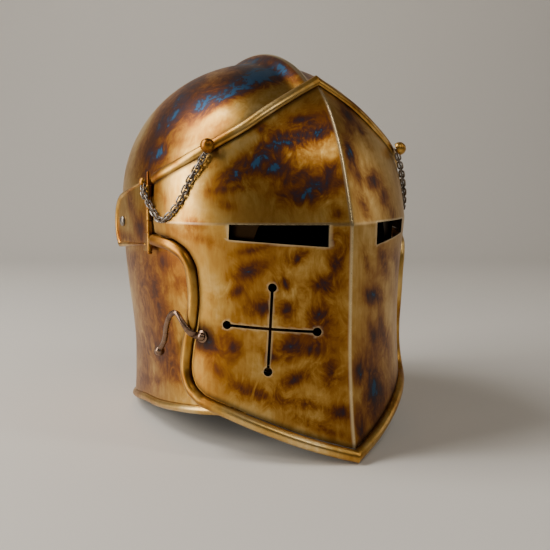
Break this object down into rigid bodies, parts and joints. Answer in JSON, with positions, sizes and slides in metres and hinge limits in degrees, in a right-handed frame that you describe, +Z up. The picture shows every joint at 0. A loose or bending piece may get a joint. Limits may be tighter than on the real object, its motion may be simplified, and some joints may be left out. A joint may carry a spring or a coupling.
{
  "type": "barbute helmet",
  "caption": "Steel barbute helmet with a low comb, a keeled lifting visor with sight slits and a pierced cross, pinned hinge arms, small chains and a latch hook.",
  "frame": {"origin": "on the surface it stands on, midway between its front and back and between its sides", "axes": "+X to the wearer's left, -Y the way the face looks, +Z up"},
  "size_m": [0.2384, 0.3126, 0.3139],
  "materials": {
    "coloured_steel": "heat coloured, mottled straw, brown and blue",
    "bright_steel": "polished, pale straw",
    "grey_steel": "satin",
    "blackened_steel": "blackened, worn on its edges"
  },
  "bodies": {
    "skull": {"skull": "coloured_steel", "skull_neck_roll": "bright_steel", "pivot_rivet_right": "grey_steel", "pivot_rivet_left": "grey_steel"},
    "visor": {"visor": "coloured_steel", "visor_lower_roll": "bright_steel", "visor_brow_moulding": "bright_steel", "hinge_arm_right": "coloured_steel", "hinge_arm_left": "coloured_steel", "hinge_pin_right": "bright_steel", "hinge_pin_left": "bright_steel", "chain_head_right": "bright_steel", "chain_head_left": "bright_steel", "chain_ball_right": "bright_steel", "chain_ball_left": "bright_steel", "chain_right": "grey_steel", "chain_left": "grey_steel", "hook_stud": "blackened_steel"},
    "hook": {"latch_hook": "blackened_steel"}
  },
  "joints": [
    {"name": "visor_lift", "type": "hinge", "parent": "skull", "child": "visor", "pos_m": [0, 0.03628, 0.1727], "axis": [-1, 0, 0], "range_deg": [0, 75]},
    {"name": "hook_swing", "type": "hinge", "parent": "visor", "child": "hook", "pos_m": [-0.08968, -0.07482, 0.0908], "axis": [-0.8445, -0.5356, -0.0002], "range_deg": [0, 40]}
  ]
}
